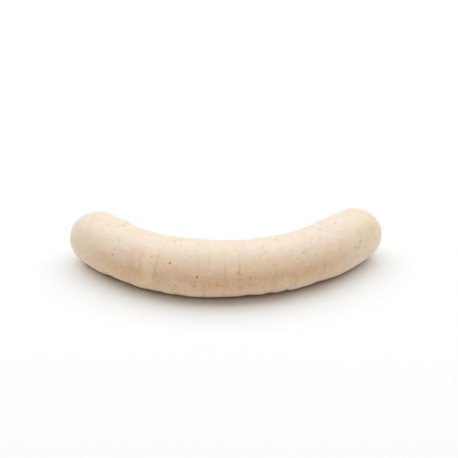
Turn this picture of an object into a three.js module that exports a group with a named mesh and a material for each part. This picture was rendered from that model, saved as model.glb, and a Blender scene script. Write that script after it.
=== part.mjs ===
// A pale scalded sausage: one bent, round-ended body that lies on its slightly flattened underside.
// Millimetres, +Z up. The sausage bows towards -Y, and its two ends turn away towards +Y.
// The origin is on the resting surface, under the middle of the bounding box.
import * as THREE from "three";

// Driving sizes
const SPINE_LENGTH = 163.6; // middle line between the centres of the two round ends
const MIDDLE_RADIUS = 15.3;
const LEFT_END_RADIUS = 15.65;
const RIGHT_END_RADIUS = 15.45;
const BEND_RADIUS = 92.3; // of the middle line, half way along
const BEND_DRIFT = 0.113; // share by which the bend is tighter at the left end and weaker at the right
const MIDDLE_HEADING = THREE.MathUtils.degToRad(2.4); // of the middle line half way along, from +X
const RESTING_FLAT = 0.66; // how far the weight presses the underside flat
const RELIEF_EDGE = 0.6; // share of an end's radius inside which its relief fades out to the tip

// Casing gathered at each end, with its short twisted stub
const PUCKER_DEPTH = 1.0;
const PUCKER_REACH = 3.4;
const PLEATS = 8;
const PLEAT_DEPTH = 0.35;
const PLEAT_RING = 4.2; // distance from the tip's axis where the pleats are deepest
const PLEAT_REACH = 2.6;
const PLEAT_TWIST = 0.22; // radians that the pleats wind round for each millimetre outwards
const STUB_RADIUS = 1.5;
const STUB_HEIGHT = 2.8;
const STUB_FOOT = 1.3; // radius of the stub's foot, as a share of its own

// Soft swellings (+) and waists (-) that run all round: place along the middle line, rise, reach
const RINGS = [
  { at: -17, rise: 0.35, reach: 9 },
  { at: 10, rise: -0.4, reach: 6 },
  { at: 28, rise: -0.25, reach: 4.5 },
  { at: 61, rise: 0.35, reach: 8 },
];

// Lumps on one side only; side is the angle round the body, 0 outside the bend and 90 on top
const LUMPS = [
  { at: -89, side: 95, rise: -1.1, reach: 9, spread: 50 },
  { at: -66, side: 125, rise: 0.7, reach: 5, spread: 40 },
  { at: -57, side: -60, rise: -0.4, reach: 8, spread: 45 },
  { at: -37, side: 125, rise: -0.25, reach: 8, spread: 50 },
  { at: 36, side: 125, rise: -0.3, reach: 5, spread: 40 },
  { at: 48, side: -60, rise: -0.25, reach: 5, spread: 45 },
  { at: 64, side: 125, rise: 0.25, reach: 9, spread: 40 },
  { at: 82, side: -65, rise: -0.5, reach: 6, spread: 45 },
  { at: 87, side: 95, rise: -0.7, reach: 6.5, spread: 50 },
];

// Creases of the casing across the lower front (-), and the soft puffs that it makes between them (+)
const CREASES = [
  { at: -68.3, rise: 0.19, reach: 2.9 },
  { at: -62.2, rise: -0.49, reach: 2.2 },
  { at: -49.9, rise: -0.36, reach: 1.6 },
  { at: -43.3, rise: 0.29, reach: 2.8 },
  { at: -33.3, rise: -0.24, reach: 1.2 },
  { at: -29.6, rise: 0.21, reach: 3.7 },
  { at: -24.4, rise: -0.34, reach: 1.7 },
  { at: -12, rise: -0.22, reach: 1 },
  { at: 2.9, rise: -0.19, reach: 3.1 },
  { at: 9.6, rise: -0.25, reach: 2.4 },
  { at: 20.3, rise: -0.55, reach: 2.1 },
  { at: 24.7, rise: 0.2, reach: 1.6 },
  { at: 29.4, rise: -0.59, reach: 1.2 },
  { at: 32.8, rise: 0.31, reach: 3.7 },
  { at: 44.7, rise: -0.38, reach: 2.2 },
];
const CREASE_PLACE = { side: -62, spread: 38 };

// Soft folds across the inside of the bend, at uneven steps
const FOLD_COUNT = 13;
const FOLD_SPAN = 144;
const FOLD_SEED = 11;
const FOLD_SCATTER = 0.6; // of the steps, as a share of the even step
const FOLD = { side: 180, rise: -0.28, reach: 2.2, spread: 42 };

// Fineness of the faceted form
const SIDES = 40;
const TRUNK_STEPS = 110;
const CAP_STEPS = 12;
const CAP_CROWDING = 1.3; // over 1 sets the rings of a round end closer towards its tip
const STUB_STEPS = 3;

const HALF_SPINE = SPINE_LENGTH / 2;
const SPINE_STEP = 0.5; // of the sum that follows the bend

// A repeatable series of numbers from 0 to 1
function seededSeries(seed) {
  let state = seed;
  return () => {
    state = (state * 16807) % 2147483647;
    return state / 2147483647;
  };
}

function bell(x) {
  return Math.exp(-x * x);
}

// Angle between two directions round the body, in degrees from 0 to 180
function sideGap(a, b) {
  const turn = Math.abs(a - b) % 360;
  return Math.min(turn, 360 - turn);
}

function lumpHeight(lump, along, side) {
  const lengthways = bell((along - lump.at) / lump.reach);
  return lump.rise * lengthways * bell(sideGap(side, lump.side) / lump.spread);
}

function innerFolds() {
  const draw = seededSeries(FOLD_SEED);
  const pitch = FOLD_SPAN / FOLD_COUNT;
  return Array.from({ length: FOLD_COUNT }, (_, i) => {
    const at = (i + 0.5 + FOLD_SCATTER * (draw() - 0.5)) * pitch - FOLD_SPAN / 2;
    return { ...FOLD, at, rise: FOLD.rise * (0.5 + draw()) };
  });
}

const creases = CREASES.map((crease) => ({ ...CREASE_PLACE, ...crease }));
const oneSided = [...LUMPS, ...creases, ...innerFolds()];

// Rise of the surface over the smooth form
function relief(along, side) {
  let height = 0;
  for (const ring of RINGS) {
    height += ring.rise * bell((along - ring.at) / ring.reach);
  }
  for (const lump of oneSided) {
    height += lumpHeight(lump, along, side);
  }
  return height;
}

function trunkRadius(along) {
  const t = along / HALF_SPINE;
  const endRadius = t < 0 ? LEFT_END_RADIUS : RIGHT_END_RADIUS;
  return MIDDLE_RADIUS + (endRadius - MIDDLE_RADIUS) * t * t;
}

// Profile of one end, from its stub's tip out to its widest ring: distance from the axis, and
// height over the centre of the round end
function endProfile(radius) {
  const points = [];
  const dimple = radius - PUCKER_DEPTH;
  const stubCentre = dimple + STUB_HEIGHT - STUB_RADIUS;
  for (let i = 0; i <= STUB_STEPS; i += 1) {
    const angle = (Math.PI / 2) * (i / STUB_STEPS);
    points.push([STUB_RADIUS * Math.sin(angle), stubCentre + STUB_RADIUS * Math.cos(angle)]);
  }
  const innermost = Math.asin((STUB_FOOT * STUB_RADIUS) / radius);
  for (let i = 0; i <= CAP_STEPS; i += 1) {
    const angle = innermost + (Math.PI / 2 - innermost) * (i / CAP_STEPS) ** CAP_CROWDING;
    const out = radius * Math.sin(angle);
    const height = radius * Math.cos(angle) - PUCKER_DEPTH * bell(out / PUCKER_REACH);
    points.push([out, height]);
  }
  return points;
}

// Profile of the straight sausage from the left tip to the right tip
function sausageProfile() {
  const left = endProfile(LEFT_END_RADIUS).map(([out, height]) => [out, -HALF_SPINE - height]);
  const right = endProfile(RIGHT_END_RADIUS).map(([out, height]) => [out, HALF_SPINE + height]);
  const trunk = [];
  for (let i = 1; i < TRUNK_STEPS; i += 1) {
    const along = -HALF_SPINE + (SPINE_LENGTH * i) / TRUNK_STEPS;
    trunk.push([trunkRadius(along), along]);
  }
  return [...left, ...trunk, ...right.reverse()].map(([out, along]) => new THREE.Vector2(out, along));
}

// Heading of the middle line; past the centre of a round end it runs straight on
function heading(along) {
  const s = THREE.MathUtils.clamp(along, -HALF_SPINE, HALF_SPINE);
  return MIDDLE_HEADING + (s - (BEND_DRIFT * s * s) / SPINE_LENGTH) / BEND_RADIUS;
}

// Point of the middle line, summed up in short steps from half way along
function spinePoint(along) {
  const steps = Math.max(1, Math.ceil(Math.abs(along) / SPINE_STEP));
  const step = along / steps;
  const point = new THREE.Vector2();
  for (let i = 0; i < steps; i += 1) {
    const direction = heading((i + 0.5) * step);
    point.x += step * Math.cos(direction);
    point.y += step * Math.sin(direction);
  }
  return point;
}

// Depth of the pleats at a tip: none on the stub, deepest a little way out
function pleatDepth(out, angle) {
  if (out <= STUB_RADIUS * 1.01) {
    return 0;
  }
  const wave = 0.5 + 0.5 * Math.cos(PLEATS * angle + PLEATS * PLEAT_TWIST * out);
  return PLEAT_DEPTH * wave * bell((out - PLEAT_RING) / PLEAT_REACH);
}

// Moves the straight, round form to the real one: relief, pleats, bend and flat underside
function shapeSausage(geometry) {
  const position = geometry.getAttribute("position");
  for (let i = 0; i < position.count; i += 1) {
    const out = Math.hypot(position.getX(i), position.getZ(i));
    const angle = Math.atan2(position.getZ(i), position.getX(i));
    const along = position.getY(i);
    const past = Math.max(0, Math.abs(along) - HALF_SPINE);
    const end = Math.sign(along);
    const endRadius = end < 0 ? LEFT_END_RADIUS : RIGHT_END_RADIUS;
    // The surface rises along its own normal, which tilts from the trunk's to the tip's.
    const tilt = Math.atan2(past, out);
    const capFade = Math.min(1, out / (RELIEF_EDGE * endRadius));
    const rise = relief(along, THREE.MathUtils.radToDeg(angle)) * capFade;
    const pleat = past > 0 ? pleatDepth(out, angle) : 0;
    const far = out + rise * Math.cos(tilt);
    const lengthways = along + end * (rise * Math.sin(tilt) - pleat);
    const spine = spinePoint(lengthways);
    const direction = heading(lengthways);
    const outside = far * Math.cos(angle);
    const height = trunkRadius(THREE.MathUtils.clamp(along, -HALF_SPINE, HALF_SPINE)) - RESTING_FLAT;
    position.setXYZ(
      i,
      spine.x + outside * Math.sin(direction),
      spine.y - outside * Math.cos(direction),
      Math.max(0, height + far * Math.sin(angle)),
    );
  }
  position.needsUpdate = true;
}

function makeSausage() {
  const geometry = new THREE.LatheGeometry(sausageProfile(), SIDES, Math.PI / SIDES);
  geometry.deleteAttribute("uv");
  shapeSausage(geometry);
  geometry.computeBoundingBox();
  const middle = geometry.boundingBox.getCenter(new THREE.Vector3());
  geometry.translate(-middle.x, -middle.y, 0);
  geometry.computeVertexNormals();
  const casing = new THREE.MeshStandardMaterial({ color: 0xe6cbab, roughness: 0.45, metalness: 0 });
  const sausage = new THREE.Mesh(geometry, casing);
  sausage.name = "sausage";
  return sausage;
}

const part = new THREE.Group();
part.add(makeSausage());

export default part;
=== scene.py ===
"""A pale scalded sausage in its natural casing, lying on a white table under soft studio light.

Metres, +Z up. The sausage bows towards -Y, where the camera stands, and its ends turn away.
"""

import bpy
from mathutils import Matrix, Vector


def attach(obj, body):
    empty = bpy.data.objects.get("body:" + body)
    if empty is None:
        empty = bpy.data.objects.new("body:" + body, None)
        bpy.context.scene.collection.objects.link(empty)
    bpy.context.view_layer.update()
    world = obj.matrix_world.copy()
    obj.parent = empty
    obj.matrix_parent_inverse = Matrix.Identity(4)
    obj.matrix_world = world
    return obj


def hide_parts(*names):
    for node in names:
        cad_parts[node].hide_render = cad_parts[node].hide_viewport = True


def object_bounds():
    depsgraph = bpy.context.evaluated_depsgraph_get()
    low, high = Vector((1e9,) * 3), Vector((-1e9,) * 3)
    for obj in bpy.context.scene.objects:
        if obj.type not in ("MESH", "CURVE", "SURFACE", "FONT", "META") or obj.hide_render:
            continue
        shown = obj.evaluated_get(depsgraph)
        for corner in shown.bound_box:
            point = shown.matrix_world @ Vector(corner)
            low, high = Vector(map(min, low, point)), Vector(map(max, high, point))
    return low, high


bl_info = {
    "name": "White Sausage",
    "version": (1, 0, 0),
    "blender": (4, 5, 0),
    "location": "View3D > Sidebar > Sausage",
    "description": "Models a pale scalded sausage and the studio that it lies in",
    "category": "Object",
}

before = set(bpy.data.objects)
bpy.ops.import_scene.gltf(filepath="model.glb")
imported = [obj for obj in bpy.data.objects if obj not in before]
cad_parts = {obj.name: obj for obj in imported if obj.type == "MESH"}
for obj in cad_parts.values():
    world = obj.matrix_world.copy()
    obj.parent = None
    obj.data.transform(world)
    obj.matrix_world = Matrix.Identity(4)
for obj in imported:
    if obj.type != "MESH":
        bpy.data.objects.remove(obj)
CAD_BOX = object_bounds()

import math
from contextlib import contextmanager

import bmesh
import bpy
import numpy as np
from bpy.props import FloatProperty, FloatVectorProperty, IntProperty, PointerProperty
from bpy.types import Operator, Panel, PropertyGroup
from mathutils import Vector

MM = 0.001
NODE = "sausage"
BODY_NAME = "sausage_body"
STRAIGHT = "straight"  # attribute: where a point lies on the sausage before it is bent
# The line tone paints shade into the grooves, creases, folds and pleats, and paler colour onto the
# rises
LINE_TONE = "line_tone"  # attribute: 1 in a groove of the casing, -1 on a stretched band
PATCH_TONE = "patch_tone"  # attribute: 1 where the meat is pinker, -1 where it is yellower
IMAGE_WIDTH = 458
SENSOR_WIDTH = 36.0
TONE_STEPS = 10
COMBINED_CURVE = 3  # of the view's curves, after those of red, green and blue

# Fineness of the mesh before it is subdivided
SIDES = 40
CAP_RINGS = 20
TRUNK_CUTS = 55
SUBDIVISIONS = 2

NEAR = 0.01 * MM  # places closer than this count as the same
WELD = 0.005 * MM  # the two halves' vertices merge within this
SPINE_STEP = 0.5 * MM  # of the sum that follows the bend
RELIEF_EDGE = 0.6  # share of the radius inside which the relief fades out to the tip
DIMPLE_REACH = 5.5 * MM  # how far out the dimple draws in the casing
FLAT_EDGE = 0.5 * MM  # height up to which the edge of the pressed underside is smoothed
FLAT_EDGE_PASSES = 6

# Rings of the stub of casing, from its foot to its tip: advance as a share of the stub's length,
# radius as a share of its radius, twist in radians
STUB_RINGS = [
    (0.0, 1.3, 0.0),
    (0.12, 1.05, 0.0),
    (0.3, 0.85, 0.35),
    (0.3, 1.0, 0.35),
    (0.2, 0.95, 0.3),
    (0.08, 0.55, 0.0),
]
STUB_FOOT = 1.35  # radius that clears the stub's foot, as a share of the stub's

# Pleats of the gathered casing: the ring round the axis where they are deepest, how far they reach
# to either side of it, and how far they wind round for each metre outwards
PLEAT_RING = 4.2 * MM
PLEAT_REACH = 2.6 * MM
PLEAT_TWIST = 220
PLEAT_SHARPNESS = 1.5

# Finer pleats further out and closer in: count, depth, ring, reach, twist
OUTER_PLEATS = (19, 0.13 * MM, 7 * MM, 3.2 * MM, 300)
INNER_PLEATS = (13, 0.16 * MM, 2.9 * MM, 1.2 * MM, 900)

# Twisted ridges of the stub: count, height, twist
STUB_RIDGES = (5, 0.16 * MM, 1300)
STUB_WOBBLE = (2, -0.1 * MM, 700)

# Soft unevenness of the casing all over: name, size, height
UNEVENNESS = [
    ("slack", 9 * MM, 0.32 * MM),
    ("skin", 2.2 * MM, 0.05 * MM),
]

# The tables below are in millimetres and degrees. A place is along the middle line, from half way.
# A side is the angle round the body: 0 outside the bend, 90 on top and 180 inside the bend.

# Soft swellings (+) and waists (-) that run all round: place, rise, reach
RINGS = [
    (-17, 0.35, 9),
    (10, -0.4, 6),
    (28, -0.25, 4.5),
    (61, 0.35, 8),
]

# Lumps on one side: place, side, rise, reach, spread
LUMPS = [
    (-89, 95, -1.1, 9, 50),
    (-66, 125, 0.7, 5, 40),
    (-57, -60, -0.4, 8, 45),
    (-37, 125, -0.25, 8, 50),
    (36, 125, -0.3, 5, 40),
    (48, -60, -0.25, 5, 45),
    (64, 125, 0.25, 9, 40),
    (82, -65, -0.5, 6, 45),
    (87, 95, -0.7, 6.5, 50),
]

# Creases of the casing across the lower front (-), and its soft puffs between them (+):
# place, rise, reach
CREASES = [
    (-68.3, 0.19, 2.9),
    (-62.2, -0.49, 2.2),
    (-49.9, -0.36, 1.6),
    (-43.3, 0.29, 2.8),
    (-33.3, -0.24, 1.2),
    (-29.6, 0.21, 3.7),
    (-24.4, -0.34, 1.7),
    (-12, -0.22, 1.0),
    (2.9, -0.19, 3.1),
    (9.6, -0.25, 2.4),
    (20.3, -0.55, 2.1),
    (24.7, 0.2, 1.6),
    (29.4, -0.59, 1.2),
    (32.8, 0.31, 3.7),
    (44.7, -0.38, 2.2),
]
CREASE_SIDE = -62
CREASE_SPREAD = 38

# Soft folds across the inside of the bend, at uneven steps
FOLD_COUNT = 13
FOLD_SPAN = 144
FOLD_SEED = 11
FOLD_SCATTER = 0.6  # of the steps, as a share of the even step
SERIES_FACTOR = 16807  # of the repeatable random numbers
SERIES_MODULUS = 2147483647
FOLD_SIDE = 180
FOLD_RISE = -0.28
FOLD_REACH = 2.2
FOLD_SPREAD = 42

# Thin lines (-) and stretched bands (+) of the casing over the front:
# place, side, rise, reach, spread
LINES = [
    (-46.0, 16, -0.08, 1.8, 26),
    (-41.3, 24, -0.12, 0.8, 34),
    (-37.4, 26, 0.15, 2.7, 36),
    (-33.5, 18, -0.14, 0.8, 32),
    (-8.6, 2, -0.05, 0.5, 16),
    (-5.4, 0, -0.05, 0.5, 18),
    (-1.3, 14, -0.18, 0.5, 27),
    (1.9, 36, 0.08, 2.2, 30),
    (5.0, 18, -0.16, 0.5, 32),
    (12.2, -4, -0.05, 0.6, 18),
    (21.5, 24, -0.06, 0.6, 24),
    (31.6, -8, -0.14, 0.6, 24),
    (38.6, 22, -0.05, 0.7, 18),
    (46.3, 4, -0.17, 0.8, 18),
    (57.8, 12, -0.05, 0.9, 26),
    (-56.6, 10, -0.04, 0.8, 24),
    (-67.5, 20, -0.03, 0.9, 26),
]
LINE_SHADE = 0.16  # rise or dip of a line, in millimetres, at which its tone is strongest
CREASE_SHADE = 0.3  # how strongly creases and folds are toned, set against the lines

# Soft patches where the meat is pinker (+) or more yellow (-): place, side, tone, reach, spread
PATCHES = [
    (-78, 50, -0.7, 7, 16),
    (-70, 14, -0.5, 8, 14),
    (-66, 78, -0.5, 5, 12),
    (-60, 40, -0.5, 4, 9),
    (-56, 22, 0.6, 4, 10),
    (-50, 36, 0.6, 4, 10),
    (-44, 49, 0.7, 3, 8),
    (-43, -12, -0.7, 3, 8),
    (-28, 41, -0.6, 5, 8),
    (-26, 12, 0.4, 4, 10),
    (-21, -8, 1.0, 4.5, 10),
    (-9, 46, -0.5, 3, 6),
    (-10, 28, 0.5, 5, 6),
    (-5, -26, 0.5, 4, 9),
    (1, 56, -0.5, 3, 10),
    (8, 30, -1.0, 4, 6),
    (9, -20, 0.6, 3, 8),
    (17, 14, 0.4, 5, 7),
    (24, 44, 0.4, 3, 5),
    (27, -4, -0.4, 4, 9),
    (31, 15, 0.7, 4, 11),
    (38, 46, 0.6, 1.6, 9),
    (41, 30, 0.5, 1.6, 10),
    (44.5, 14, 0.7, 1.8, 10),
    (38, -14, -0.5, 4, 9),
    (46, 28, -0.9, 3, 7),
    (52, -4, 0.4, 3, 12),
    (60, 40, 0.4, 4, 9),
    (66, 26, -0.5, 5, 10),
    (77, 50, -0.9, 9, 18),
    (82, 18, -0.7, 9, 20),
    (86, 80, -0.5, 8, 25),
    (30, 92, 0.4, 4, 9),
    (-12, 72, -0.3, 6, 8),
    (45, 66, 0.4, 8, 9),
]

# Grains of spice under the casing: place, side, radius, strength
SPECKS = [
    (-27.0, 36, 0.8, 0.75),
    (-13.9, 15, 0.6, 0.95),
    (-13.9, 12.5, 0.55, 0.7),
    (-14.7, 3, 0.7, 0.5),
    (-15.1, -5, 0.8, 0.45),
    (17.8, 73.5, 0.55, 0.9),
    (15.1, 52.5, 0.6, 0.4),
    (36.7, 44, 0.75, 0.5),
    (36.2, 47, 0.6, 0.25),
    (62.8, 84.5, 1.1, 0.5),
    (-36.3, 42, 0.8, 0.4),
    (-32.2, 44, 0.7, 0.3),
    (-19.1, 44, 0.75, 0.35),
    (-17.6, 53, 0.6, 0.3),
    (-9.4, 55.5, 0.65, 0.35),
    (-9.2, 43, 0.65, 0.3),
    (4.0, 22.5, 1.1, 0.3),
    (9.9, 11, 0.85, 0.35),
    (9.9, 8, 0.7, 0.25),
    (20.8, 31, 0.6, 0.3),
    (22.8, 31, 0.6, 0.3),
    (32.6, 35, 0.6, 0.3),
    (42.8, 34, 0.9, 0.3),
    (-60.5, 96, 1.1, 0.5),
    (-56.0, 26, 0.9, 0.4),
    (-56.3, 36, 0.9, 0.25),
    (-43.6, -10, 0.9, 0.4),
    (-4.5, -4, 0.9, 0.3),
    (-2.8, -4, 0.9, 0.3),
    (5.6, -11.5, 0.8, 0.4),
    (31.6, -22, 0.9, 0.4),
    (33.6, -1, 0.7, 0.3),
    (69.2, 25, 0.9, 0.4),
    (66.2, 18, 0.8, 0.3),
    (1.9, 45, 0.6, 0.3),
    (-42.4, 97, 0.9, 0.3),
    (-24.0, -10, 0.9, 0.3),
    (12.0, 12, 0.6, 0.25),
]

# Grains and darker crumbs of meat that lie deeper, so that they only show as soft, dull marks; the
# wider, fainter ones from -63.5 on are painted shade of shallow dents in the casing:
# place, side, radius, strength
DEEP_SPECKS_AND_DENT_SHADE = [
    (-23.6, 75, 1.0, 1.0),
    (-27.6, 86, 1.1, 0.8),
    (26.3, 89, 1.2, 0.6),
    (52.3, 87, 1.1, 0.8),
    (8.2, 86, 1.1, 0.6),
    (-61.0, 52, 1.1, 0.3),
    (-67.0, 78, 1.6, 0.4),
    (41.5, 80, 1.0, 0.3),
    (-50.5, 62, 0.9, 0.3),
    (-63.5, 48, 2.4, 0.25),
    (-55.3, 55, 1.5, 0.35),
    (-52.0, 38, 2.0, 0.25),
    (-67.0, 27, 1.2, 0.4),
    (-72.0, 40, 2.2, 0.15),
    (42.3, 56, 1.5, 0.25),
    (46.5, 56, 1.5, 0.25),
    (56.0, 28, 2.0, 0.25),
    (65.2, 20, 1.6, 0.4),
    (67.4, 15, 1.6, 0.4),
    (65.4, 3, 1.3, 0.3),
    (61.2, -13, 1.3, 0.3),
    (70.7, 48, 2.2, 0.25),
    (75.0, 20, 1.8, 0.25),
]

# A pair of limits gives where a mark begins and where it is full. Marks that lie by their side:
# The band along the front is partly tanned colour and partly painted shade
BAND_TOP = (38, 6)
BAND_FOOT = (-46, -2)
# Painted glow, as of light spreading through the meat, between the pale top and the band
GLOW_TOP = (60, 38)
GLOW_FOOT = (5, 30)
# Sides over which the lower front is painted paler, as bounce light from the table
BOUNCE_RIM = (-26, -46)
STREAKED = (15, -20)
PLACED_FOOT = (-60, -35)  # of the grains in the tables, which give way to scattered ones
PLACED_TOP = (125, 100)
# The second of these edges is that of the painted glow, as of light through the meat
EDGE_WANDER = 0.35  # of the band's and the flush's edges, in radians

# By their distance from half way along, and by their height as a share of the radius
BAND_MIDDLE = -6 * MM
BAND_ENDS = (88 * MM, 42 * MM)
BAND_END_WANDER = 14 * MM
# Where the painted glow weakens towards the ends
GLOW_ENDS = (62 * MM, 25 * MM)
# Heights, as a share of the radius, over which the underside and the lowest edge are painted with
# brown shade
UNDERSIDE_SHADE = (-0.8, -0.88)

# By the noise that makes them
LEAN_TONES = (0.44, 0.7)
FAT_TONES = (0.48, 0.75)
STREAK_TONES = (-0.14, 0.1)

# By the distance from a grain's centre, as a share of its radius, or of its cell if it is scattered
SPECK_EDGE = (1.15, 0.2)
SCATTER_CELL = 5.2 * MM
SCATTER_EDGE = (0.12, 0.05)
SCATTER_STRENGTHS = (0.35, 1.1)  # by the random number of the cell

# Random tones: size of the marks, detail, roughness, seed
UNEVEN_NOISE = (9 * MM, 3, 0.55, 4.0)
PINK_NOISE = (6 * MM, 2, 0.6, 5.0)
LEAN_NOISE = (4 * MM, 4, 0.7, 2.5)
FAT_NOISE = (1.5 * MM, 2, 0.65, 9.0)
STREAK_NOISE = (14 * MM, 2, 0.6, 3.0)
GRAIN_NOISE = (0.45 * MM, 3, 0.6, 2.0)
GLOSS_NOISE = (5 * MM, 2, 0.5, 6.0)
DUST_NOISE = (40 * MM, 3, 0.5, 0.0)
PATCH_WANDER = 0.5  # tone that the unevenness adds to the patches
PINK_STRENGTH = 1.7
STREAK_FINENESS = 7.0  # how much finer the streaks are along the sausage than across it
STREAK_CONTRAST = 2.2
STIR_SIZE = 0.9 * MM  # of the noise that makes the grains' outlines uneven
STIR_AMOUNT = 0.7 * MM

# Fine relief that the light alone shows, and the change of roughness
STREAK_HEIGHT = 0.12 * MM
GRAIN_HEIGHT = 0.012 * MM
GLOSS_CHANGE = 0.3
BAND_DRYNESS = 0.05

# How strongly each colour shows, from 0 to 1
BAND_SHOW = 0.97
GLOW_SHOW = 0.42
BOUNCE_RIM_SHOW = 0.2
UNDERSIDE_SHADE_SHOW = 0.85
PATCH_SHOW = 0.65
LEAN_SHOW = 0.5
FAT_SHOW = 0.4
STREAK_SHOW = 0.08
LOW_STREAK_SHOW = 0.6  # more than that, low on the front
LINE_SHOW = 0.42
STRETCH_SHOW = 0.55
DEEP_SPECK_AND_SHADE_SHOW = 0.5
SPECK_SHOW = 0.75
SCATTER_SHOW = 0.6  # of the placed grains'
STUB_SHOW = 0.9


class SausageSizes(PropertyGroup):
    """Driving sizes of the sausage, as its solid has them, but with slightly deeper pleats."""

    spine_length: FloatProperty(
        name="Spine length",
        description="Length of the middle line between the centres of the round ends",
        default=163.6 * MM,
        unit="LENGTH",
    )
    middle_radius: FloatProperty(
        name="Middle radius",
        description="Radius of the body half way along",
        default=15.3 * MM,
        unit="LENGTH",
    )
    left_end_radius: FloatProperty(
        name="Left end radius",
        description="Radius of the round end on the left",
        default=15.65 * MM,
        unit="LENGTH",
    )
    right_end_radius: FloatProperty(
        name="Right end radius",
        description="Radius of the round end on the right",
        default=15.45 * MM,
        unit="LENGTH",
    )
    bend_radius: FloatProperty(
        name="Bend radius",
        description="Radius of the middle line's bend, half way along",
        default=92.3 * MM,
        unit="LENGTH",
    )
    bend_drift: FloatProperty(
        name="Bend drift",
        description="Share by which the bend is tighter at the left end and weaker at the right",
        default=0.113,
        subtype="FACTOR",
    )
    middle_heading: FloatProperty(
        name="Middle heading",
        description="Direction of the middle line half way along, from +X",
        default=math.radians(2.4),
        subtype="ANGLE",
    )
    resting_flat: FloatProperty(
        name="Resting flat",
        description="How far the weight presses the underside flat",
        default=0.66 * MM,
        unit="LENGTH",
    )
    pucker_depth: FloatProperty(
        name="Pucker depth",
        description="Depth of the dimple where the casing is gathered at each end",
        default=1.0 * MM,
        unit="LENGTH",
    )
    stub_radius: FloatProperty(
        name="Stub radius",
        description="Radius of the twisted stub of casing at each end",
        default=1.5 * MM,
        unit="LENGTH",
    )
    stub_length: FloatProperty(
        name="Stub length",
        description="Height of the stub over the floor of its dimple",
        default=2.8 * MM,
        unit="LENGTH",
    )
    pleats: IntProperty(
        name="Pleats",
        description="Number of pleats of the gathered casing round each end",
        default=8,
    )
    pleat_depth: FloatProperty(
        name="Pleat depth",
        description="Depth of the pleats round each stub",
        default=0.4 * MM,
        unit="LENGTH",
    )


class SausageColours(PropertyGroup):
    """Colours and finish of the casing and of the meat that shows through it, with some light and
    shade painted into them.
    """

    meat: FloatVectorProperty(
        name="Meat",
        description="Pale colour of the meat through its casing",
        default=(0.87, 0.735, 0.617),
        subtype="COLOR",
    )
    # Partly the casing's own tanned colour, partly shade painted along the front, where it turns
    # from the light
    tan: FloatVectorProperty(
        name="Tanned front",
        description="Colour of the band along the front where the casing is drier",
        default=(0.735, 0.54, 0.367),
        subtype="COLOR",
    )
    # Painted light: a warm glow, as of light spreading through the meat, painted between the pale
    # top and the tanned front
    flush: FloatVectorProperty(
        name="Flush",
        description="Warmer colour between the pale top and the tanned front",
        default=(0.95, 0.7, 0.49),
        subtype="COLOR",
    )
    # Painted shade: this brown darkens the underside and the lowest edge of the front, where the
    # sausage lies on the table
    underside: FloatVectorProperty(
        name="Underside",
        description="Browner colour of the underside, where the casing lies on the table",
        default=(0.6, 0.36, 0.16),
        subtype="COLOR",
    )
    pink: FloatVectorProperty(
        name="Pink patches",
        description="Colour of the patches where the meat is pinker",
        default=(0.88, 0.64, 0.53),
        subtype="COLOR",
    )
    straw: FloatVectorProperty(
        name="Straw patches",
        description="Colour of the slightly yellow patches",
        default=(0.86, 0.73, 0.5),
        subtype="COLOR",
    )
    lean: FloatVectorProperty(
        name="Lean grains",
        description="Colour of the slightly darker grains of lean meat",
        default=(0.76, 0.6, 0.465),
        subtype="COLOR",
    )
    # Also the colour of the painted bounce light low on the front
    fat: FloatVectorProperty(
        name="Fat grains",
        description="Colour of the paler grains of fat in the meat",
        default=(0.95, 0.85, 0.73),
        subtype="COLOR",
    )
    stretched: FloatVectorProperty(
        name="Stretched bands",
        description="Colour of the casing where it is stretched over a fold",
        default=(0.93, 0.77, 0.58),
        subtype="COLOR",
    )
    # Also the painted shade in the grooves of the casing's lines, creases, folds and pleats
    crease: FloatVectorProperty(
        name="Creases",
        description="Colour of the deepest creases and lines of the casing",
        default=(0.65, 0.46, 0.3),
        subtype="COLOR",
    )
    speck: FloatVectorProperty(
        name="Specks",
        description="Colour of the spice grains under the casing",
        default=(0.32, 0.17, 0.07),
        subtype="COLOR",
    )
    # Also the colour of the painted shade in shallow dents of the casing
    deep_speck_and_shade: FloatVectorProperty(
        name="Deep specks",
        description="Colour of the spice grains that lie deeper in the meat",
        default=(0.53, 0.43, 0.35),
        subtype="COLOR",
    )
    dry_casing: FloatVectorProperty(
        name="Dry casing",
        description="Colour of the twisted stubs of casing at the ends",
        default=(0.75, 0.585, 0.41),
        subtype="COLOR",
    )
    roughness: FloatProperty(
        name="Roughness",
        description="Mean roughness of the moist casing",
        default=0.42,
        subtype="FACTOR",
    )
    depth: FloatProperty(
        name="Light depth",
        description="How far light spreads in the meat",
        default=2.2 * MM,
        unit="LENGTH",
    )


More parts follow.
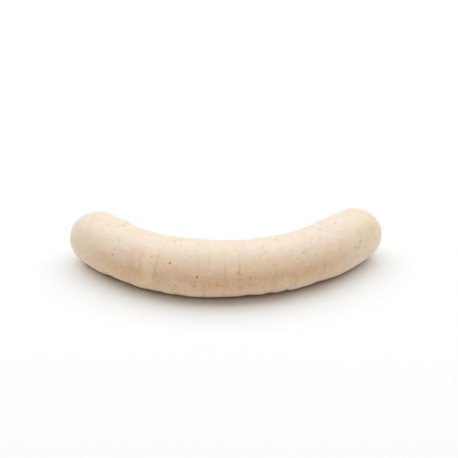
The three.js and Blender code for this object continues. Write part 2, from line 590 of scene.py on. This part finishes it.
class StudioSettings(PropertyGroup):
    """The table, the lights and the camera."""

    table: FloatVectorProperty(
        name="Table",
        description="Colour of the white table",
        default=(0.93, 0.93, 0.925),
        subtype="COLOR",
    )
    table_size: FloatProperty(
        name="Table size",
        description="Length of the table's sides",
        default=6.0,
        unit="LENGTH",
    )
    sky: FloatProperty(
        name="Sky light",
        description="Strength of the even light from all round",
        default=0.445,
    )
    key_power: FloatProperty(
        name="Overhead light",
        description="Power of the wide light overhead",
        default=19.5,
        unit="POWER",
    )
    key_height: FloatProperty(
        name="Overhead height",
        description="Height of the wide light over the table",
        default=1.1,
        unit="LENGTH",
    )
    key_back: FloatProperty(
        name="Overhead set back",
        description="How far behind the sausage the wide light hangs",
        default=0.32,
        unit="LENGTH",
    )
    key_width: FloatProperty(
        name="Overhead width",
        description="Width of the wide light, along the sausage",
        default=3.0,
        unit="LENGTH",
    )
    key_depth: FloatProperty(
        name="Overhead depth",
        description="Depth of the wide light, across the sausage",
        default=1.4,
        unit="LENGTH",
    )
    contrast: FloatProperty(
        name="Contrast",
        description="How far the picture's mid tones are deepened, as a photograph's are",
        default=0.25,
        subtype="FACTOR",
    )
    contrast_pivot: FloatProperty(
        name="Contrast pivot",
        description="The shown tone that the contrast leaves as it is",
        default=0.79,
        subtype="FACTOR",
    )
    camera_elevation: FloatProperty(
        name="Camera elevation",
        description="Angle of the camera's line of sight over the table",
        default=math.radians(30),
        subtype="ANGLE",
    )
    camera_distance: FloatProperty(
        name="Camera distance",
        description="Distance from the camera to the point of the table in the picture's middle",
        default=657 * MM,
        unit="LENGTH",
    )
    camera_aim: FloatVectorProperty(
        name="Camera aim",
        description="Point of the table in the picture's middle",
        default=(1.5 * MM, 49.4 * MM, 0.0),
        subtype="TRANSLATION",
        unit="LENGTH",
    )
    pixels_per_radian: FloatProperty(
        name="Focal length in pixels",
        description="Focal length of the camera, in pixels of the square picture",
        default=1112.0,
    )


# Small tools for modelling


def deselect_all():
    bpy.ops.object.select_all(action="DESELECT")


def select_only(piece):
    deselect_all()
    piece.select_set(True)
    bpy.context.view_layer.objects.active = piece


@contextmanager
def edit_mode(piece, element="VERT"):
    """Edit mode on one piece, with nothing selected at first."""
    select_only(piece)
    bpy.ops.object.mode_set(mode="EDIT")
    bpy.ops.mesh.select_mode(type=element)
    bpy.ops.mesh.select_all(action="DESELECT")
    yield
    bpy.ops.object.mode_set(mode="OBJECT")


def select_vertices(piece, test):
    """Selects the vertices whose place passes the test, with the edges and faces between them."""
    bpy.ops.mesh.select_all(action="DESELECT")
    mesh = bmesh.from_edit_mesh(piece.data)
    for vertex in mesh.verts:
        vertex.select = test(vertex.co)
    mesh.select_flush(True)
    bmesh.update_edit_mesh(piece.data)


def select_edges(piece, test):
    """Selects the edges whose two ends pass the test, and nothing else."""
    bpy.ops.mesh.select_all(action="DESELECT")
    mesh = bmesh.from_edit_mesh(piece.data)
    for edge in mesh.edges:
        edge.select_set(test(edge.verts[0].co, edge.verts[1].co))
    mesh.select_flush_mode()
    bmesh.update_edit_mesh(piece.data)


def apply_modifier(piece, kind, **settings):
    """Adds a modifier to the piece with its settings and applies it at once."""
    select_only(piece)
    bpy.ops.object.modifier_add(type=kind)
    modifier = piece.modifiers[-1]
    for name, value in settings.items():
        setattr(modifier, name, value)
    bpy.ops.object.modifier_apply(modifier=modifier.name)


def vertex_array(piece):
    places = np.empty(len(piece.data.vertices) * 3, np.float32)
    piece.data.vertices.foreach_get("co", places)
    return places.reshape(-1, 3).astype(float)


def push(piece, heights, direction):
    """Displaces each vertex by its own height through a vertex group: rises first, then dips."""
    for sign in (1, -1):
        part = np.clip(sign * heights, 0, None)
        most = float(part.max())
        if most <= 0:
            continue
        group = piece.vertex_groups.new(name="push")
        for index, weight in enumerate(part / most):
            if weight > 0:
                group.add([index], weight, "REPLACE")
        apply_modifier(
            piece,
            "DISPLACE",
            vertex_group=group.name,
            direction=direction,
            mid_level=0.0,
            strength=sign * most,
        )
        piece.vertex_groups.clear()


# The sausage's form


def bell(x):
    return np.exp(-x * x)


def side_gap(sides, side):
    turn = np.abs(sides - side) % 360
    return np.minimum(turn, 360 - turn)


def seeded_series(seed):
    """A repeatable series of numbers from 0 to 1."""
    state = seed
    while True:
        state = state * SERIES_FACTOR % SERIES_MODULUS
        yield state / SERIES_MODULUS


def inner_folds():
    draw = seeded_series(FOLD_SEED)
    pitch = FOLD_SPAN / FOLD_COUNT
    folds = []
    for i in range(FOLD_COUNT):
        at = (i + 0.5 + FOLD_SCATTER * (next(draw) - 0.5)) * pitch - FOLD_SPAN / 2
        rise = FOLD_RISE * (0.5 + next(draw))
        folds.append((at, FOLD_SIDE, rise, FOLD_REACH, FOLD_SPREAD))
    return folds


def taper(sizes, along):
    """Growth of the radius from half way along to the ends."""
    half = sizes.spine_length / 2
    t = np.clip(along / half, -1, 1)
    end = np.where(t < 0, sizes.left_end_radius, sizes.right_end_radius)
    return (end - sizes.middle_radius) * t * t


def polar(places):
    """Place along the middle line and distance from it in millimetres, and side in degrees."""
    out = np.hypot(places[:, 1], places[:, 2])
    side = np.degrees(np.arctan2(places[:, 2], -places[:, 1]))
    return places[:, 0] / MM, out / MM, side


def sum_of_lumps(lumps, along, side):
    total = np.zeros(len(along))
    for at, middle_side, rise, reach, spread in lumps:
        total += rise * bell((along - at) / reach) * bell(side_gap(side, middle_side) / spread)
    return total


def relief(sizes, places):
    """Rise of the real surface over a plain round-ended bar of the middle radius."""
    along, out, side = polar(places)
    rise = np.zeros(len(along))
    for at, height, reach in RINGS:
        rise += height * bell((along - at) / reach)
    creases = [(at, CREASE_SIDE, dip, reach, CREASE_SPREAD) for at, dip, reach in CREASES]
    rise += sum_of_lumps(LUMPS + creases + inner_folds() + LINES, along, side)
    edge_fade = np.minimum(1, out / (RELIEF_EDGE * sizes.middle_radius / MM))
    fullness = np.minimum(1, out / (2 * sizes.stub_radius / MM))
    return rise * edge_fade * MM + taper(sizes, places[:, 0]) * fullness


def patch_tone(places):
    """Tone of the meat's patches: up to 1 where it is pinker, down to -1 where it is yellower."""
    along, _, side = polar(places)
    return sum_of_lumps(PATCHES, along, side)


def line_tone(places):
    """Tone of the casing's lines: up to 1 in a groove, painted darker as shade, down to -1 on a
    stretched band, painted paler.
    """
    along, _, side = polar(places)
    creases = [(at, CREASE_SIDE, dip, reach, CREASE_SPREAD) for at, dip, reach in CREASES]
    broad = sum_of_lumps(creases + inner_folds(), along, side) * CREASE_SHADE
    return -(sum_of_lumps(LINES, along, side) + broad) / LINE_SHADE


def gathers(sizes, places):
    """Pleats of the casing round each tip, and the ridges of its twisted stub."""
    past = np.abs(places[:, 0]) - sizes.spine_length / 2
    out = np.hypot(places[:, 1], places[:, 2])
    angle = np.arctan2(places[:, 2], -places[:, 1])
    wave = (0.5 + 0.5 * np.cos(sizes.pleats * (angle + PLEAT_TWIST * out))) ** PLEAT_SHARPNESS
    pleats = -sizes.pleat_depth * wave * bell((out - PLEAT_RING) / PLEAT_REACH)
    # The finer pleats stand at uneven steps round the tip
    count, depth, ring, reach, twist = OUTER_PLEATS
    wave = 0.3 + 0.7 * np.sin(count * angle + 9 * np.sin(2 * angle) + twist * out)
    pleats -= depth * wave * bell((out - ring) / reach)
    count, depth, ring, reach, twist = INNER_PLEATS
    wave = 0.5 + 0.5 * np.sin(count * angle + twist * out + np.sin(3 * angle))
    pleats -= depth * wave * bell((out - ring) / reach)
    on_cap = (past > 0) & (out > STUB_FOOT * sizes.stub_radius)

    count, height, twist = STUB_RIDGES
    ridges = height * np.cos(count * angle + twist * past)
    count, height, twist = STUB_WOBBLE
    ridges += height * np.sin(count * angle + twist * past)
    on_stub = (past > sizes.middle_radius) & (out < 1.15 * sizes.stub_radius)
    return np.where(on_cap, pleats, 0) + np.where(on_stub, ridges, 0)


def heading(sizes, along):
    """Direction of the middle line; past the centre of a round end it runs straight on."""
    half = sizes.spine_length / 2
    s = max(-half, min(half, along))
    return sizes.middle_heading + (s - sizes.bend_drift * s * s / (2 * half)) / sizes.bend_radius


def middle_line(sizes, reach):
    """Points of the middle line from -reach to reach, with its half-way point at 0."""
    count = round(reach / SPINE_STEP)
    line = {0: Vector((0, 0, 0))}
    for sign in (1, -1):
        step = sign * SPINE_STEP
        point = Vector((0, 0, 0))
        for i in range(count):
            direction = heading(sizes, (i + 0.5) * step)
            point = point + step * Vector((math.cos(direction), math.sin(direction), 0))
            line[sign * (i + 1)] = point
    return [line[i] for i in sorted(line)]


def add_half_body(sizes):
    """The right half of a straight, round-ended bar along X, with its stub of casing."""
    half = sizes.spine_length / 2
    radius = sizes.middle_radius
    deselect_all()
    bpy.ops.mesh.primitive_uv_sphere_add(
        segments=SIDES,
        ring_count=CAP_RINGS,
        radius=radius,
        location=(half, 0, 0),
        rotation=(0, math.pi / 2, 0),
    )
    body = bpy.context.object
    body.name = body.data.name = BODY_NAME
    bpy.ops.object.transform_apply(location=True, rotation=True, scale=True)
    with edit_mode(body):
        select_vertices(body, lambda p: p.x < half - NEAR)
        bpy.ops.mesh.delete(type="VERT")
        select_vertices(body, lambda p: p.x < half + NEAR)
        bpy.ops.mesh.extrude_edges_move(TRANSFORM_OT_translate={"value": (-half, 0, 0)})
    with edit_mode(body, "EDGE"):
        select_edges(body, lambda a, b: abs(a.x - b.x) > half - NEAR)
        bpy.ops.mesh.subdivide_edgering(number_cuts=TRUNK_CUTS, interpolation="LINEAR")
    ring_x = half + radius * math.cos(math.pi / CAP_RINGS)
    ring_radius = radius * math.sin(math.pi / CAP_RINGS)
    with edit_mode(body):
        select_vertices(body, lambda p: p.x > ring_x - NEAR)
        add_stub(sizes, ring_radius)
    return body


def add_stub(sizes, radius):
    """Extrudes the selected faces, of the given radius, into a foot, a neck and a twisted stub."""
    for advance, size, twist in STUB_RINGS:
        shift = advance * sizes.stub_length
        bpy.ops.mesh.extrude_region_move(TRANSFORM_OT_translate={"value": (shift, 0, 0)})
        wanted = size * sizes.stub_radius
        share = wanted / radius
        bpy.ops.transform.resize(value=(1, share, share), center_override=(0, 0, 0))
        if twist:
            bpy.ops.transform.rotate(value=twist, orient_axis="X", center_override=(0, 0, 0))
        radius = wanted


def press_dimple(sizes, body):
    """Pushes the stub in, and draws the casing round it in with it."""
    tip = sizes.spine_length / 2 + 0.8 * sizes.middle_radius
    foot = STUB_FOOT * sizes.stub_radius
    with edit_mode(body):
        select_vertices(body, lambda p: p.x > tip and math.hypot(p.y, p.z) < foot)
        bpy.ops.transform.translate(
            value=(-sizes.pucker_depth, 0, 0),
            use_proportional_edit=True,
            proportional_edit_falloff="SMOOTH",
            proportional_size=DIMPLE_REACH,
        )


def bend(sizes, body):
    """Bends the straight body along the middle line, which lies level."""
    reach = sizes.spine_length / 2 + 2 * sizes.middle_radius
    points = middle_line(sizes, reach)
    data = bpy.data.curves.new("middle_line", "CURVE")
    data.dimensions = "3D"
    data.twist_mode = "Z_UP"
    spline = data.splines.new("POLY")
    spline.points.add(len(points) - 1)
    for target, point in zip(spline.points, points):
        target.co = (*point, 1)
    guide = bpy.data.objects.new("middle_line", data)
    bpy.context.collection.objects.link(guide)
    length = (len(points) - 1) * SPINE_STEP
    with edit_mode(body):
        bpy.ops.mesh.select_all(action="SELECT")
        bpy.ops.transform.translate(value=(length / 2, 0, 0))
    apply_modifier(body, "CURVE", object=guide, deform_axis="POS_X")
    bpy.data.objects.remove(guide)


def lay_down(sizes, body):
    """Sets the body into its place on the table and presses its underside flat."""
    low, high = CAD_BOX
    places = vertex_array(body)
    middle = (places.min(0) + places.max(0)) / 2
    rest_height = sizes.middle_radius - sizes.resting_flat
    with edit_mode(body):
        bpy.ops.mesh.select_all(action="SELECT")
        shift = ((low.x + high.x) / 2 - middle[0], (low.y + high.y) / 2 - middle[1], rest_height)
        bpy.ops.transform.translate(value=shift)
        select_vertices(body, lambda p: p.z < 0)
        bpy.ops.transform.resize(value=(1, 1, 0), center_override=(0, 0, 0))
        select_vertices(body, lambda p: p.z < FLAT_EDGE)
        bpy.ops.mesh.vertices_smooth(
            factor=0.5, repeat=FLAT_EDGE_PASSES, xaxis=False, yaxis=False, zaxis=True
        )


def roughen(body, name, size, height):
    """Soft unevenness of the given size and height all over the body."""
    texture = bpy.data.textures.new(name, "CLOUDS")
    texture.noise_scale = size
    texture.noise_depth = 1
    apply_modifier(
        body,
        "DISPLACE",
        texture=texture,
        texture_coords="LOCAL",
        mid_level=0.5,
        strength=height,
    )


def store(body, name, kind, values):
    """Keeps a number or a vector of each vertex, for the material to read."""
    attribute = body.data.attributes.new(name, kind, "POINT")
    field = "vector" if kind == "FLOAT_VECTOR" else "value"
    attribute.data.foreach_set(field, np.asarray(values, np.float32).ravel())


class SAUSAGE_OT_body(Operator):
    """Model the sausage: a bent body with round ends, gathered tips and a creased casing"""

    bl_idname = "sausage.body"
    bl_label = "Sausage Body"
    bl_options = {"REGISTER", "UNDO"}

    def execute(self, context):
        sizes = context.scene.sausage_sizes
        body = add_half_body(sizes)
        apply_modifier(body, "SUBSURF", levels=SUBDIVISIONS, render_levels=SUBDIVISIONS)
        widest = float(np.abs(vertex_array(body)[:, 1]).max())
        with edit_mode(body):
            share = sizes.middle_radius / widest
            bpy.ops.mesh.select_all(action="SELECT")
            bpy.ops.transform.resize(value=(1, share, share), center_override=(0, 0, 0))
        press_dimple(sizes, body)
        apply_modifier(body, "MIRROR", use_clip=True, merge_threshold=WELD)
        places = vertex_array(body)
        puckers = gathers(sizes, places)
        store(body, STRAIGHT, "FLOAT_VECTOR", places)
        # Deeper pleats get more painted shade
        store(body, LINE_TONE, "FLOAT", line_tone(places) - puckers / sizes.pleat_depth)
        store(body, PATCH_TONE, "FLOAT", patch_tone(places))
        push(body, relief(sizes, places) + puckers, "NORMAL")
        for name, size, height in UNEVENNESS:
            roughen(body, name, size, height)
        push(body, taper(sizes, places[:, 0]), "Z")
        bend(sizes, body)
        lay_down(sizes, body)
        select_only(body)
        bpy.ops.object.shade_smooth()
        body.data.materials.append(casing_material(context.scene.sausage_colours, sizes))
        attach(body, "root")
        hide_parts(NODE)
        return {"FINISHED"}


# Materials


class Value:
    """A number or colour in a node tree that plain arithmetic works on."""

    def __init__(self, shader, socket):
        self.shader = shader
        self.socket = socket

    def math(self, operation, *values):
        return self.shader.node("ShaderNodeMath", {"operation": operation}, values)

    def __add__(self, other):
        return self.math("ADD", self, other)

    def __radd__(self, other):
        return self.math("ADD", other, self)

    def __sub__(self, other):
        return self.math("SUBTRACT", self, other)

    def __rsub__(self, other):
        return self.math("SUBTRACT", other, self)

    def __mul__(self, other):
        return self.math("MULTIPLY", self, other)

    def __rmul__(self, other):
        return self.math("MULTIPLY", other, self)

    def magnitude(self):
        return self.math("ABSOLUTE", self)

    def clamped(self):
        return self.shader.node("ShaderNodeClamp", {}, {"Value": self})

    def between(self, low, high):
        """0 at low, 1 at high, level beyond them and smooth between; low may be the larger."""
        settings = {"interpolation_type": "SMOOTHSTEP"}
        values = {"Value": self, "From Min": low, "From Max": high}
        return self.shader.node("ShaderNodeMapRange", settings, values)

    def between_sides(self, low, high):
        """As between, with the two sides given in degrees."""
        return self.between(math.radians(low), math.radians(high))


class Shader:
    """A material's node tree, built from expressions."""

    def __init__(self, name):
        self.material = bpy.data.materials.new(name)
        self.material.use_nodes = True
        self.tree = self.material.node_tree
        self.surface = self.tree.nodes["Principled BSDF"]

    def node(self, kind, settings, values=(), output=0):
        """Adds a node: its settings first, then its sockets by name or in order."""
        made = self.tree.nodes.new(kind)
        for name, value in settings.items():
            setattr(made, name, value)
        pairs = values.items() if isinstance(values, dict) else enumerate(values)
        for key, value in pairs:
            self.feed(self.input_of(made, key), value)
        outputs = [socket for socket in made.outputs if socket.enabled]
        return Value(self, outputs[output] if isinstance(output, int) else made.outputs[output])

    @staticmethod
    def input_of(node, key):
        if isinstance(key, int):
            return node.inputs[key]
        return next(s for s in node.inputs if s.name == key and s.enabled)

    def feed(self, socket, value):
        if isinstance(value, Value):
            self.tree.links.new(value.socket, socket)
        elif socket.type == "RGBA" and len(value) == 3:
            socket.default_value = (*value, 1)
        else:
            socket.default_value = value

    def attribute(self, name, output):
        return self.node("ShaderNodeAttribute", {"attribute_name": name}, (), output)

    def split(self, vector, axis):
        return self.node("ShaderNodeSeparateXYZ", {}, {"Vector": vector}, axis)

    def mix(self, factor, first, second):
        """The first colour, giving way to the second as the factor goes from 0 to 1."""
        settings = {"data_type": "RGBA", "clamp_factor": True}
        return self.node("ShaderNodeMix", settings, {"Factor": factor, "A": first, "B": second})

    def noise(self, place, size, detail, roughness, seed):
        """Soft random tone about 0.5, with marks of the given size."""
        values = {"Vector": place, "W": seed, "Scale": 1 / size}
        values.update({"Detail": detail, "Roughness": roughness})
        return self.node("ShaderNodeTexNoise", {"noise_dimensions": "4D"}, values)

    def stirred(self, place, size, amount):
        """The place pushed about a little, so that round marks become uneven."""
        values = {"Vector": place, "Scale": 1 / size, "Detail": 2.0}
        drift = self.node("ShaderNodeTexNoise", {}, values, "Color")
        centred = self.vector_math("SUBTRACT", drift, (0.5, 0.5, 0.5))
        return self.vector_math("MULTIPLY_ADD", centred, (amount, amount, amount), place)

    def vector_math(self, operation, *values, output=0):
        return self.node("ShaderNodeVectorMath", {"operation": operation}, values, output)

    def set(self, **values):
        """Sets or links the surface shader's own sockets; _ in a name stands for a space."""
        for name, value in values.items():
            self.feed(self.surface.inputs[name.replace("_", " ")], value)


def grain_mask(shader, place, radius, grains):
    """Mask of the grains that show through the casing at known places."""
    mask = 0.0
    for along, side, size, strength in grains:
        angle = math.radians(side)
        centre = (along * MM, -radius * math.cos(angle), radius * math.sin(angle))
        distance = shader.vector_math("DISTANCE", place, centre, output="Value")
        edge = (share * size * MM for share in SPECK_EDGE)
        mask = mask + distance.between(*edge) * strength
    return mask


def scattered_grains(shader, straight):
    """Mask of small grains at random places, where a cell's centre lies close to the surface."""
    values = {"Vector": straight, "Scale": 1 / SCATTER_CELL}
    distance = shader.node("ShaderNodeTexVoronoi", {"feature": "F1"}, values, "Distance")
    colour = shader.node("ShaderNodeTexVoronoi", {"feature": "F1"}, values, "Color")
    strength = shader.node("ShaderNodeSeparateColor", {}, {"Color": colour}, "Red")
    return distance.between(*SCATTER_EDGE) * strength.between(*SCATTER_STRENGTHS)


class CasingPlace:
    """Where a point lies on the straight sausage, as the casing's patterns read it."""

    def __init__(self, shader, sizes):
        self.straight = shader.attribute(STRAIGHT, "Vector")
        self.along = shader.split(self.straight, "X")
        self.height = shader.split(self.straight, "Z")
        self.radius = sizes.middle_radius
        self.half = sizes.spine_length / 2
        outside = -1 * shader.split(self.straight, "Y")
        self.side = self.height.math("ARCTAN2", self.height, outside)
        self.from_middle = self.along.magnitude()
        self.uneven = shader.noise(self.straight, *UNEVEN_NOISE) - 0.5
        self.wavy_side = self.side + self.uneven * EDGE_WANDER


def tanned_and_shaded_band(place):
    """Mask of the band along the front, tanned and with painted shade, soft at its edges and fading
    to the ends.
    """
    side = place.wavy_side
    from_band = (place.along - BAND_MIDDLE).magnitude() + place.uneven * BAND_END_WANDER
    band = side.between_sides(*BAND_TOP) * side.between_sides(*BAND_FOOT)
    return band * from_band.between(*BAND_ENDS)


def painted_glow_mask(place):
    """Mask of the painted glow over the band, as of light spreading through the meat, weaker
    towards the ends.
    """
    side = place.wavy_side
    flush = side.between_sides(*GLOW_TOP) * side.between_sides(*GLOW_FOOT)
    return flush * (place.from_middle.between(*GLOW_ENDS) * 0.8 + 0.2)


def broad_tone(shader, place, colours, band):
    """The meat's colour with its tanned band that carries painted shade along the front, a painted
    warm glow above that band, paler painted bounce light low on the front and painted brown shade
    underneath.
    """
    # Tanned colour and painted shade along the front
    colour = shader.mix(band * BAND_SHOW, colours.meat, colours.tan)
    # Painted glow of light spreading through the meat
    colour = shader.mix(painted_glow_mask(place) * GLOW_SHOW, colour, colours.flush)
    # Painted bounce light from the table, low on the front, in the fat grains' colour
    painted_bounce = place.side.between_sides(*BOUNCE_RIM)
    colour = shader.mix(painted_bounce * BOUNCE_RIM_SHOW, colour, colours.fat)
    # Painted brown shade underneath, where the body lies on the table
    under = place.height.between(*(share * place.radius for share in UNDERSIDE_SHADE))
    return shader.mix(under * UNDERSIDE_SHADE_SHOW, colour, colours.underside)


def mottled(shader, place, colours, colour):
    """Adds the meat's pinker and yellower patches, and its fine grains of lean and fat."""
    patch = shader.attribute(PATCH_TONE, "Fac") + place.uneven * PATCH_WANDER
    pink = shader.noise(place.straight, *PINK_NOISE) - 0.5
    tone = patch + pink * PINK_STRENGTH
    colour = shader.mix(tone.clamped() * PATCH_SHOW, colour, colours.pink)
    colour = shader.mix((-1 * tone).clamped() * PATCH_SHOW, colour, colours.straw)
    lean = shader.noise(place.straight, *LEAN_NOISE).between(*LEAN_TONES)
    colour = shader.mix(lean * LEAN_SHOW, colour, colours.lean)
    fat = shader.noise(place.straight, *FAT_NOISE).between(*FAT_TONES)
    return shader.mix(fat * FAT_SHOW, colour, colours.fat)


def streaked(shader, place, colours, colour, streaks, low):
    """Adds streaks across the casing, mostly low on the front."""
    show = (low * LOW_STREAK_SHOW + STREAK_SHOW) * place.uneven.between(*STREAK_TONES)
    colour = shader.mix((streaks * STREAK_CONTRAST).clamped() * show, colour, colours.crease)
    return shader.mix((streaks * -STREAK_CONTRAST).clamped() * show, colour, colours.stretched)


def lined(shader, colours, colour):
    """Adds the tone of the casing's lines, creases, folds, pleats and stretched bands: painted
    shade in the grooves and paler colour on the rises.
    """
    line = shader.attribute(LINE_TONE, "Fac")
    colour = shader.mix(line.clamped() * LINE_SHOW, colour, colours.crease)
    return shader.mix((-1 * line).clamped() * STRETCH_SHOW, colour, colours.stretched)


def spiced(shader, place, colours, colour):
    """Adds the grains of spice: deep ones, among them painted shade of shallow dents, placed ones
    and, behind and below, scattered ones.
    """
    uneven_place = shader.stirred(place.straight, STIR_SIZE, STIR_AMOUNT)
    # Deep grains, and the painted shade of shallow dents
    deep = grain_mask(shader, uneven_place, place.radius, DEEP_SPECKS_AND_DENT_SHADE).clamped()
    colour = shader.mix(deep * DEEP_SPECK_AND_SHADE_SHOW, colour, colours.deep_speck_and_shade)
    placed = place.side.between_sides(*PLACED_FOOT) * place.side.between_sides(*PLACED_TOP)
    grains = grain_mask(shader, uneven_place, place.radius, SPECKS)
    grains = grains + scattered_grains(shader, place.straight) * (1 - placed) * SCATTER_SHOW
    return shader.mix(grains.clamped() * SPECK_SHOW, colour, colours.speck)


def casing_material(colours, sizes):
    """Pale, fine meat under a moist casing: mottled, tanned along the front, lined and speckled,
    with light and shade painted into its colour.
    """
    shader = Shader("casing")
    place = CasingPlace(shader, sizes)
    band = tanned_and_shaded_band(place)
    squeezed = shader.vector_math("MULTIPLY", place.straight, (STREAK_FINENESS, 1.0, 1.0))
    streaks = shader.noise(squeezed, *STREAK_NOISE) - 0.5
    low = place.side.between_sides(*STREAKED)

    colour = broad_tone(shader, place, colours, band)
    colour = mottled(shader, place, colours, colour)
    colour = streaked(shader, place, colours, colour, streaks, low)
    colour = lined(shader, colours, colour)
    colour = spiced(shader, place, colours, colour)
    tip = place.half + place.radius
    stub = place.from_middle.between(tip - 1.2 * MM, tip + 0.2 * MM)
    colour = shader.mix(stub * STUB_SHOW, colour, colours.dry_casing)

    grain = shader.noise(place.straight, *GRAIN_NOISE)
    gloss = shader.noise(place.straight, *GLOSS_NOISE) - 0.5
    height = grain * GRAIN_HEIGHT + streaks * low * STREAK_HEIGHT
    bump = shader.node("ShaderNodeBump", {}, {"Strength": 1.0, "Distance": 1.0, "Height": height})
    shader.set(
        Base_Color=colour,
        Roughness=colours.roughness + gloss * GLOSS_CHANGE + band * BAND_DRYNESS,
        Normal=bump,
        Subsurface_Weight=0.35,
        Subsurface_Radius=(1.0, 0.42, 0.2),
        Subsurface_Scale=colours.depth,
        IOR=1.4,
        Specular_IOR_Level=0.4,
        Coat_Weight=0.08,
        Coat_Roughness=0.3,
    )
    return shader.material


def table_material(colour):
    shader = Shader("table")
    place = shader.node("ShaderNodeTexCoord", {}, (), "Object")
    dust = shader.noise(place, *DUST_NOISE)
    shader.set(
        Base_Color=shader.mix(dust, colour, [0.995 * c for c in colour]),
        Roughness=0.9,
        Specular_IOR_Level=0.2,
    )
    return shader.material


# The studio


def add_table(settings):
    deselect_all()
    bpy.ops.mesh.primitive_plane_add(size=settings.table_size)
    table = bpy.context.object
    table.name = "table"
    with edit_mode(table):
        bpy.ops.mesh.select_all(action="SELECT")
        bpy.ops.mesh.subdivide(number_cuts=8)
    table.data.materials.append(table_material(settings.table))


def add_lights(settings):
    """A wide soft light overhead and a little behind, and even light from all round."""
    place = Vector((0, settings.key_back, settings.key_height))
    deselect_all()
    bpy.ops.object.light_add(type="AREA", location=place)
    overhead = bpy.context.object
    overhead.name = "overhead_light"
    overhead.data.shape = "RECTANGLE"
    overhead.data.size = settings.key_width
    overhead.data.size_y = settings.key_depth
    overhead.data.energy = settings.key_power
    overhead.rotation_euler = (-place).to_track_quat("-Z", "Y").to_euler()
    world = bpy.data.worlds.new("studio")
    world.use_nodes = True
    background = world.node_tree.nodes["Background"]
    background.inputs["Color"].default_value = (1, 1, 1, 1)
    background.inputs["Strength"].default_value = settings.sky
    bpy.context.scene.world = world


def add_camera(settings):
    elevation = settings.camera_elevation
    back = Vector((0, -math.cos(elevation), math.sin(elevation)))
    deselect_all()
    aim = Vector(settings.camera_aim)
    bpy.ops.object.camera_add(location=aim + settings.camera_distance * back)
    camera = bpy.context.object
    camera.rotation_euler = (-back).to_track_quat("-Z", "Y").to_euler()
    camera.data.sensor_width = SENSOR_WIDTH
    camera.data.lens = settings.pixels_per_radian * SENSOR_WIDTH / IMAGE_WIDTH
    camera.data.clip_start = 0.01
    bpy.context.scene.camera = camera


def to_linear(shown):
    """Light that a screen gives for a shown tone from 0 to 1."""
    return shown / 12.92 if shown <= 0.04045 else ((shown + 0.055) / 1.055) ** 2.4


def set_tone(settings, view):
    """Deepens the mid tones a little about the pivot, with black and white kept."""
    view.view_transform = "Standard"
    view.use_curve_mapping = True
    curve = view.curve_mapping.curves[COMBINED_CURVE]
    for step in range(1, TONE_STEPS):
        tone = step / TONE_STEPS
        shift = 4 * settings.contrast * tone * (1 - tone) * (tone - settings.contrast_pivot)
        curve.points.new(to_linear(tone), to_linear(tone + shift))
    view.curve_mapping.update()


class SAUSAGE_OT_studio(Operator):
    """Set up the white table, the soft light and the camera"""

    bl_idname = "sausage.studio"
    bl_label = "Studio"
    bl_options = {"REGISTER", "UNDO"}

    def execute(self, context):
        settings = context.scene.sausage_studio
        add_table(settings)
        add_lights(settings)
        add_camera(settings)
        set_tone(settings, context.scene.view_settings)
        return {"FINISHED"}


class SAUSAGE_PT_sidebar(Panel):
    """Panel that lists the sausage's pieces, sizes and colours."""

    bl_label = "White Sausage"
    bl_idname = "SAUSAGE_PT_sidebar"
    bl_space_type = "VIEW_3D"
    bl_region_type = "UI"
    bl_category = "Sausage"

    def draw(self, context):
        layout = self.layout
        for operator in OPERATORS:
            layout.operator(operator.bl_idname)
        for group in GROUPS:
            box = layout.box()
            settings = getattr(context.scene, group)
            for name in settings.bl_rna.properties.keys():
                if name not in ("rna_type", "name"):
                    box.prop(settings, name)


OPERATORS = [SAUSAGE_OT_body, SAUSAGE_OT_studio]
GROUPS = {
    "sausage_sizes": SausageSizes,
    "sausage_colours": SausageColours,
    "sausage_studio": StudioSettings,
}
CLASSES = [*GROUPS.values(), *OPERATORS, SAUSAGE_PT_sidebar]


def register():
    for cls in CLASSES:
        bpy.utils.register_class(cls)
    for name, group in GROUPS.items():
        setattr(bpy.types.Scene, name, PointerProperty(type=group))


def unregister():
    for name in GROUPS:
        delattr(bpy.types.Scene, name)
    for cls in reversed(CLASSES):
        bpy.utils.unregister_class(cls)


def main():
    register()
    bpy.ops.sausage.body()
    bpy.ops.sausage.studio()


if __name__ == "__main__":
    main()
